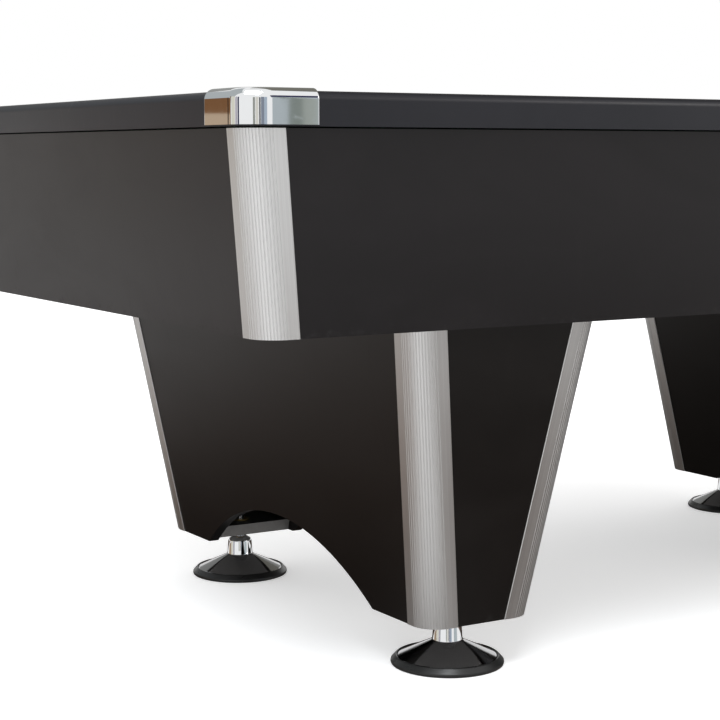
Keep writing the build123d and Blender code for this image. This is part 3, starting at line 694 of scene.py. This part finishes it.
class CushionShape:
    """A cushion's form in its own measures: along its length, back from the nose, and up from the cloth."""

    ARC_STEPS, RUN_STEPS = 18, 26  # round each end, and along the straight part
    TOP_SLOPE = 0.133
    NOSE_INSET, HEEL_INSET = 3.4 * MM, 24 * MM  # from the nose back to where the top and the underside start
    NOSE_TOP = 36.4  # millimetres up from the cloth
    CROWN = 0.35 * MM  # how far the top swells
    # Millimetres back from the nose and up from the cloth.
    WALL = ((24.0, 0.3), (20.5, 4.0), (14.0, 12.6), (7.0, 22.0), (2.4, 28.2), (0.9, 30.4), (0.25, 31.7))
    NOSE = ((0.0, 33.0), (0.3, 34.4), (1.2, 35.5), (2.2, 36.1), (3.4, 36.4))
    # Shares of the way over the top, and how deep the groove at its back is there.
    TOP = (0.10, 0.28, 0.50, 0.72, 0.86, 0.91, 0.94, 0.97, 1.0)
    GROOVE = {0.94: 0.55, 0.97: 1.0, 1.0: 0.7}

    def __init__(self, span, depth, start_r, end_r, cloth):
        self.span, self.depth, self.cloth = span, depth, cloth
        self.radii = (start_r, end_r)

    def stations(self):
        """Points round the nose line, from back corner to back corner, each with the way in and the pleat."""
        r, last_r = self.radii
        out = [(0.0, self.depth, 1.0, 0.0, 0.0)]
        quarter = [math.pi / 2 * i / self.ARC_STEPS for i in range(self.ARC_STEPS + 1)]
        for a in reversed(quarter):
            sin, cos = math.sin(a), math.cos(a)
            out.append((r - r * sin, r - r * cos, sin, cos, self.pleat(a)))
        run = self.span - r - last_r
        for i in range(1, self.RUN_STEPS):
            out.append((r + run * i / self.RUN_STEPS, 0.0, 0.0, 1.0, 0.0))
        far = self.span - last_r
        for a in quarter:
            sin, cos = math.sin(a), math.cos(a)
            out.append((far + last_r * sin, last_r - last_r * cos, -sin, cos, self.pleat(a)))
        return out + [(self.span, self.depth, -1.0, 0.0, 0.0)]

    def pleat(self, angle):
        """How far the cloth draws in at an angle round an end: five soft tucks, deeper towards the back."""
        return self.cloth.pleat * math.sin(10 * angle) ** 2 * angle

    def behind(self, k, count, u, inset):
        """Where along the back a line over the form ends, if it starts an inset from station k's nose."""
        spread = min(k, count - 1 - k) / (self.ARC_STEPS + 1)
        if spread >= 1.0:
            return u
        first = k < count / 2
        reach = inset + (self.radii[0 if first else 1] - inset) * spread
        return reach if first else self.span - reach

    def section(self, k, count, station):
        """One section's points: half the underside, up the wall and the nose, then back over the top."""
        u, v, in_u, in_v, pleat = station
        wall = []
        for b, h in self.WALL + self.NOSE:
            share_up = h / self.NOSE_TOP
            reach = b * MM + pleat * share_up
            up = h * MM + self.TOP_SLOPE * v * share_up
            wall.append((u + in_u * reach, v + in_v * reach, up))
        edge, heel = wall[-1], wall[0]
        edge_u = self.behind(k, count, u, self.NOSE_INSET) - edge[0]
        heel_u = self.behind(k, count, u, self.HEEL_INSET) - heel[0]
        below = [(heel[0] + heel_u * t, heel[1] + (self.depth - heel[1]) * t, heel[2]) for t in (1.0, 0.5)]
        over = []
        for t in self.TOP:
            back = (self.depth - edge[1]) * t
            crown = self.CROWN * math.sin(math.pi * t)
            rise = self.TOP_SLOPE * back + crown - self.GROOVE.get(t, 0.0) * self.cloth.tuck
            over.append((edge[0] + edge_u * t, edge[1] + back, edge[2] + rise))
        return below + wall + over

    def build(self, bm, put):
        """Makes the closed form. put(along, back, up) gives a place in the table's frame."""
        stations = self.stations()
        sections = []
        for k, station in enumerate(stations):
            sections.append(ring_of(bm, [put(*p) for p in self.section(k, len(stations), station)]))
        for near, far in zip(sections, sections[1:]):
            bridge(bm, near, far, closed=False)
        rim = [section[0] for section in sections] + sections[-1][1:-1]
        rim += [section[-1] for section in reversed(sections)] + sections[0][-2:0:-1]
        bm.faces.new(rim)
        bmesh.ops.remove_doubles(bm, verts=bm.verts, dist=0.01 * MM)
        bmesh.ops.dissolve_degenerate(bm, edges=bm.edges, dist=0.005 * MM)


class POOL_OT_cushions(Maker, bpy.types.Operator):
    """Cover the six cushions with cloth, tucked round their ends"""

    bl_idname = "pool.cushions"
    bl_label = "Cover the cushions"

    def make(self, scene, look):
        cloth = scene.pool_table_cloth
        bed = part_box("bed_cloth")[1].z
        cover = baize("cushion_baize", look.baize, bed)
        corner_r, side_r = cloth.corner_end, cloth.side_end
        for name in sorted(matching("cushion_")):
            low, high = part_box(name)
            middle = (low + high) / 2
            if high.x - low.x > high.y - low.y:
                span, depth = high.x - low.x, high.y - low.y
                nose, back = (high.y, -1) if middle.y < 0 else (low.y, 1)
                put = lambda u, v, h, n=nose, w=back, x=low.x: (x + u, n + w * v, bed + h)
                radii = (corner_r, side_r) if middle.x < 0 else (side_r, corner_r)
            else:
                span, depth = high.y - low.y, high.x - low.x
                nose, back = (high.x, -1) if middle.x < 0 else (low.x, 1)
                put = lambda u, v, h, n=nose, w=back, y=low.y: (n + w * v, y + u, bed + h)
                radii = (corner_r, corner_r)
            bm = bmesh.new()
            CushionShape(span, depth, *radii, cloth).build(bm, put)
            piece = piece_from(f"covered_{name}", bm, cover, smooth_angle=50)
            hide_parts(name)


class POOL_OT_feet(Maker, bpy.types.Operator):
    """Make the threaded chrome stems, and finish the discs, pads and inserts"""

    bl_idname = "pool.feet"
    bl_label = "Make the screw feet"

    # Radius and height in millimetres, from the pivot up to where the stud begins.
    STEM = ((0, 26), (6, 26), (6, 36.9), (22.6, 36.9), (23.3, 37.6), (23.3, 38.4), (22.9, 39), (21.3, 61.5),
            (21.0, 62.8), (19.9, 64.9), (18.6, 66.2), (12.6, 69.7), (11.8, 70), (7.4, 70))
    STUD_TOP, STUD_R, STUD_BEVEL = 128.0, 8.0, 1.2
    ROWS_PER_TURN = 6
    BRASS = (0.60, 0.43, 0.17)
    NICKEL, RUBBED_NICKEL = (0.42, 0.42, 0.43), (0.48, 0.48, 0.48)

    def make(self, scene, look):
        foot = scene.pool_table_feet
        dress(matching("foot_", "_disc"), self.gloss_black())
        rubber = moulded("foot_rubber", look.rubber, 0.30, 800, 0.05 * MM)
        dress(matching("foot_", "_pad"), rubber)
        dress(["foot_inserts"], turned_metal("insert_brass", self.BRASS, 0.28))
        plate = chrome("stem_chrome", look.chrome, 30)
        for stem in sorted(matching("foot_", "_stem")):
            low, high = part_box(stem)
            bm = bmesh.new()
            self.turn(bm, (low + high) / 2, foot)
            piece = piece_from(f"threaded_{stem}", bm, plate, stem, 35)
            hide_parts(stem)

    def gloss_black(self):
        """Black nickel plate with the slight orange peel of its polish and a few hairline rubs."""
        f = Finish("foot_gloss", Metallic=1.0)
        rub = f.noise(55, 5, 0.65, None, 1.4).eased(0.56, 0.80)
        f.feed(
            Base_Color=f.mix(rub * 0.4, self.NICKEL, self.RUBBED_NICKEL),
            Roughness=0.11 + rub * 0.12,
            Normal=f.bump(f.noise(260, 2), 0.05 * MM, 0.4),
        )
        return f.material

    def turn(self, bm, centre, foot):
        """One stem: its smooth body turned from a profile, then the stud with its helical thread."""
        count = foot.segments
        turn = [2 * math.pi * i / count for i in range(count)]
        radii = [(z, [r] * count) for r, z in self.STEM]
        pitch, depth = foot.pitch / MM, foot.thread_depth / MM
        start, stop = self.STEM[-1][1], self.STUD_TOP
        steps = round((stop - start) / pitch * self.ROWS_PER_TURN)
        for i in range(1, steps + 1):
            z = start + (stop - start) * i / steps
            limit = min(self.STUD_R, self.STUD_R - self.STUD_BEVEL + (stop - z))
            ring = []
            for a in turn:
                wave = abs(2 * ((z / pitch - a / (2 * math.pi)) % 1) - 1)
                crest = min(1.0, max(0.0, 1.5 * wave - 0.25))  # with flats at its top and its root
                crest *= min(1.0, (z - start) / pitch)  # it fades in over its first turn
                ring.append(min(limit, self.STUD_R - depth + depth * crest))
            radii.append((z, ring))
        rows = []
        for z, ring in radii:
            offsets = [(r * MM * math.cos(a), r * MM * math.sin(a)) for r, a in zip(ring, turn)]
            places = [(centre.x + x, centre.y + y, z * MM) for x, y in offsets]
            rows.append(ring_of(bm, places[:1] if max(ring) == 0 else places))
        for near, far in zip(rows, rows[1:]):
            if len(near) == 1:
                for i in range(count):
                    bm.faces.new((near[0], far[i], far[(i + 1) % count]))
            else:
                bridge(bm, near, far)
        bm.faces.new(rows[-1])


class POOL_OT_stage(Maker, bpy.types.Operator):
    """Lay the floor, hang the lights and reflection cards, and set the camera"""

    bl_idname = "pool.stage"
    bl_label = "Set the stage"

    # Each reflection card: its bearing and distance from the near corner, in degrees and metres, its width,
    # its lowest and highest edge, and its colour.
    CARDS = {
        "tan_board": (121, 3.6, 1.5, (0.05, 0.895), (0.50, 0.38, 0.27)),
        "brown_board": (121, 3.7, 1.5, (0.88, 1.25), (0.20, 0.098, 0.045)),
        "dark_post": (121.7, 3.5, 0.26, (0.05, 1.3), (0.05, 0.03, 0.02)),
        "umber_post": (134, 3.8, 0.35, (0.1, 1.9), (0.22, 0.13, 0.07)),
        "cream_board": (149, 4.0, 1.3, (0.1, 2.0), (0.74, 0.72, 0.62)),
        "mauve_board": (164, 4.0, 0.55, (0.1, 2.0), (0.46, 0.43, 0.49)),
        "navy_post": (173, 3.9, 0.42, (0.2, 1.9), (0.03, 0.03, 0.08)),
        "olive_post": (231.5, 3.9, 0.50, (0.2, 1.8), (0.32, 0.33, 0.30)),
        "stone_post": (242, 4.0, 0.70, (0.2, 1.9), (0.74, 0.72, 0.66)),
        "black_post": (252, 3.8, 0.30, (0.3, 1.7), (0.02, 0.02, 0.03)),
        "slate_board": (261.5, 4.0, 0.80, (0.1, 2.0), (0.25, 0.28, 0.34)),
        "mist_board": (272.5, 4.1, 0.75, (0.1, 2.0), (0.44, 0.51, 0.60)),
        "grey_board": (309, 4.4, 2.2, (0.0, 2.0), (0.47, 0.52, 0.545)),
        "sage_stripe": (299.9, 4.2, 0.05, (0.2, 1.8), (0.22, 0.25, 0.23)),
        "sage_band": (300.5, 4.25, 0.07, (0.2, 1.8), (0.36, 0.39, 0.36)),
        "far_board": (78, 5.5, 7.0, (0.95, 3.6), (0.33, 0.335, 0.325)),
    }
    # Each overhead card: the middle of its place, its size and its colour.
    OVERHEAD = {
        "ceiling_grey": ((-3.3, 2.6, 3.2), 5.2, (0.46, 0.49, 0.50)),
        "ceiling_navy": ((1.4, -4.6, 2.6), 1.5, (0.05, 0.05, 0.10)),
        "ceiling_olive": ((2.0, 0.9, 3.4), 4.6, (0.20, 0.195, 0.17)),
    }
    CAP_HEIGHT = 0.8  # which the overhead cards face
    # The mat's lighter patch, a painted pool of light in what the pieces reflect: its middle, its outer and
    # inner radius and its strength.
    PATCH_X, PATCH_Y, PATCH_RADII, PATCH_STRENGTH = -1.14, -0.82, (0.90, 0.25), 0.70
    # Its darker, browner tint off the left end, painted shade with a warm cast in what the pieces reflect:
    # the colour and strength, then where it starts and is full along X, along Y and outwards.
    MAT_BROWN, BROWN_STRENGTH = (0.15, 0.095, 0.068), 0.60
    BROWN_X, BROWN_Y, BROWN_AWAY = (-0.8, -1.3), (-0.8, -0.2), (2.8, 2.0)
    # Each light: its place, its aim, its size and its colour.
    KEY = ((-2.2, -1.6, 3.4), (-0.6, -0.4, 0.6), 2.6, (0.94, 0.97, 1.0))
    FILL = ((2.6, -3.6, 2.4), (0.2, -0.4, 0.5), 2.0, (1.0, 0.97, 0.94))
    LIGHT_SHAPE = 0.75  # height over width
    CAMERA_PLACE, CAMERA_YAW, CAMERA_DOWN = (-2.0629, -2.5135, 0.7627), 58.893, 6.586

    def make(self, scene, look):
        stage = scene.pool_table_stage
        scene.view_settings.view_transform = "Standard"
        self.lay_floor(stage)
        self.lay_mat(stage)
        corner = Vector((CAD_BOX[0][0], CAD_BOX[0][1], 0))
        for name, card in self.CARDS.items():
            self.stand_card(corner, name, *card)
        aim = corner + Vector((0, 0, self.CAP_HEIGHT))
        for name, (place, size, rgb) in self.OVERHEAD.items():
            self.card(name, Vector(place), aim, size, size, rgb)
        world = bpy.data.worlds.new("even_white")
        world.use_nodes = True
        sky = next(n for n in world.node_tree.nodes if n.type == "BACKGROUND")
        sky.inputs["Color"].default_value = (1.0, 1.0, 1.0, 1)
        sky.inputs["Strength"].default_value = stage.surround
        scene.world = world
        self.hang("key_light", stage.key, *self.KEY)
        self.hang("fill_light", stage.fill, *self.FILL)
        data = bpy.data.cameras.new("studio_camera")
        data.lens, data.sensor_width, data.clip_end = stage.lens, 36, 100
        camera = bpy.data.objects.new("studio_camera", data)
        camera.location = self.CAMERA_PLACE
        tilt, heading = 90 - self.CAMERA_DOWN, self.CAMERA_YAW - 90
        camera.rotation_euler = (math.radians(tilt), 0, math.radians(heading))
        scene.collection.objects.link(camera)
        scene.camera = camera

    def lay_floor(self, stage):
        glow = {"Emission_Color": (1, 1, 1, 1), "Emission_Strength": stage.floor_glow}
        f = Finish("floor_paint", Roughness=0.9, Specular_IOR_Level=0.2, **glow)
        f.feed(Base_Color=f.tinted((stage.floor_tone,) * 3, 0.02, f.noise(0.8, 3)))
        self.level("floor", 30, 0, f.material)

    def lay_mat(self, stage):
        """A darker mat just over the floor, which only polished pieces show.

        Its colour is painted shade and light for what the polished pieces reflect. It is dark near the table,
        painted shade under it. It is paler away from the table and in a patch off its front left corner,
        painted light. It is darker and browner off its left end, painted shade with a warm cast.
        """
        f = Finish("mat_felt", Roughness=1.0, Specular_IOR_Level=0.0)
        away = f.reach(f.place())
        x, y = f.along("X"), f.along("Y")
        # painted light and shade: the mat is dark near the table, lighter far out and in a patch, and darker
        # and browner off its left end, all only for what the polished pieces reflect
        from_patch = f.reach(f.joined(x - self.PATCH_X, y - self.PATCH_Y, 0.0))
        patch = from_patch.eased(*self.PATCH_RADII) * self.PATCH_STRENGTH
        brown = x.eased(*self.BROWN_X) * y.eased(*self.BROWN_Y) * away.eased(*self.BROWN_AWAY)
        brown = brown * self.BROWN_STRENGTH
        pale = away.eased(*stage.mat_fade)
        pale = pale + patch * (1 - pale)
        base = f.mix(pale, tuple(stage.mat_near), tuple(stage.mat_far))
        f.feed(Base_Color=f.mix(brown, base, self.MAT_BROWN))
        self.only_in_reflections(self.level("mat", 12, 1 * MM, f.material))

    def level(self, name, half, z, material):
        """A level square about the table's middle."""
        return self.set_up(name, [(x * half, y * half, z) for x, y in SQUARE], material)

    @staticmethod
    def only_in_reflections(thing):
        thing.visible_camera = thing.visible_diffuse = thing.visible_shadow = False

    def stand_card(self, corner, name, bearing, distance, width, heights, rgb):
        """An upright card that faces the table's near corner."""
        a = math.radians(bearing)
        way = Vector((math.cos(a), math.sin(a), 0))
        place = corner + way * distance + Vector((0, 0, sum(heights) / 2))
        self.card(name, place, place - way, width, heights[1] - heights[0], rgb)

    def card(self, name, place, aim, width, height, rgb):
        """A glowing board about a place, turned towards an aim."""
        glow = {"Emission_Color": (*rgb, 1), "Emission_Strength": 1.0}
        f = Finish(name, Base_Color=(0, 0, 0, 1), Roughness=1, Specular_IOR_Level=0, **glow)
        facing = (aim - place).to_track_quat("-Z", "Y")
        flat = [Vector((x * width / 2, y * height / 2, 0)) for x, y in SQUARE]
        self.only_in_reflections(self.set_up(name, [place + facing @ point for point in flat], f.material))

    @staticmethod
    def set_up(name, corners, material):
        """A one-faced piece of the stage."""
        bm = bmesh.new()
        bm.faces.new(ring_of(bm, corners))
        mesh = bpy.data.meshes.new(name)
        bm.to_mesh(mesh)
        bm.free()
        thing = bpy.data.objects.new(name, mesh)
        bpy.context.scene.collection.objects.link(thing)
        wear(thing, material)
        return thing

    def hang(self, name, power, place, aim, size, rgb):
        """A soft rectangular light over the table."""
        data = bpy.data.lights.new(name, "AREA")
        data.shape, data.size, data.size_y = "RECTANGLE", size, size * self.LIGHT_SHAPE
        data.energy, data.color = power, rgb
        light = bpy.data.objects.new(name, data)
        light.location = place
        light.rotation_euler = (Vector(aim) - Vector(place)).to_track_quat("-Z", "Y").to_euler()
        bpy.context.scene.collection.objects.link(light)


# ---------------------------------------------------------------- panel and main
STEPS = (
    POOL_OT_cabinet,
    POOL_OT_pedestals,
    POOL_OT_trims,
    POOL_OT_rails,
    POOL_OT_caps,
    POOL_OT_bed,
    POOL_OT_ball_return,
    POOL_OT_bed_cloth,
    POOL_OT_cushions,
    POOL_OT_feet,
    POOL_OT_stage,
)
SETTINGS = {
    "pool_table_finish": FinishSettings,
    "pool_table_cloth": ClothSettings,
    "pool_table_feet": FootSettings,
    "pool_table_stage": StageSettings,
}


class POOL_PT_workshop(bpy.types.Panel):
    """The steps that finish the table, in order, with their settings"""

    bl_idname = "POOL_PT_workshop"
    bl_label = "Pool table"
    bl_space_type = "VIEW_3D"
    bl_region_type = "UI"
    bl_category = "Pool Table"

    def draw(self, context):
        for name, group in SETTINGS.items():
            box = self.layout.box()
            for prop in group.__annotations__:
                box.prop(getattr(context.scene, name), prop)
        for step in STEPS:
            self.layout.operator(step.bl_idname)


def register():
    for group in SETTINGS.values():
        bpy.utils.register_class(group)
    for name, group in SETTINGS.items():
        setattr(bpy.types.Scene, name, PointerProperty(type=group))
    for step in (*STEPS, POOL_PT_workshop):
        bpy.utils.register_class(step)


def unregister():
    for step in reversed((*STEPS, POOL_PT_workshop)):
        bpy.utils.unregister_class(step)
    for name, group in SETTINGS.items():
        delattr(bpy.types.Scene, name)
        bpy.utils.unregister_class(group)


def main():
    register()
    for step in STEPS:
        family, name = step.bl_idname.split(".")
        getattr(getattr(bpy.ops, family), name)()


if __name__ == "__main__":
    main()
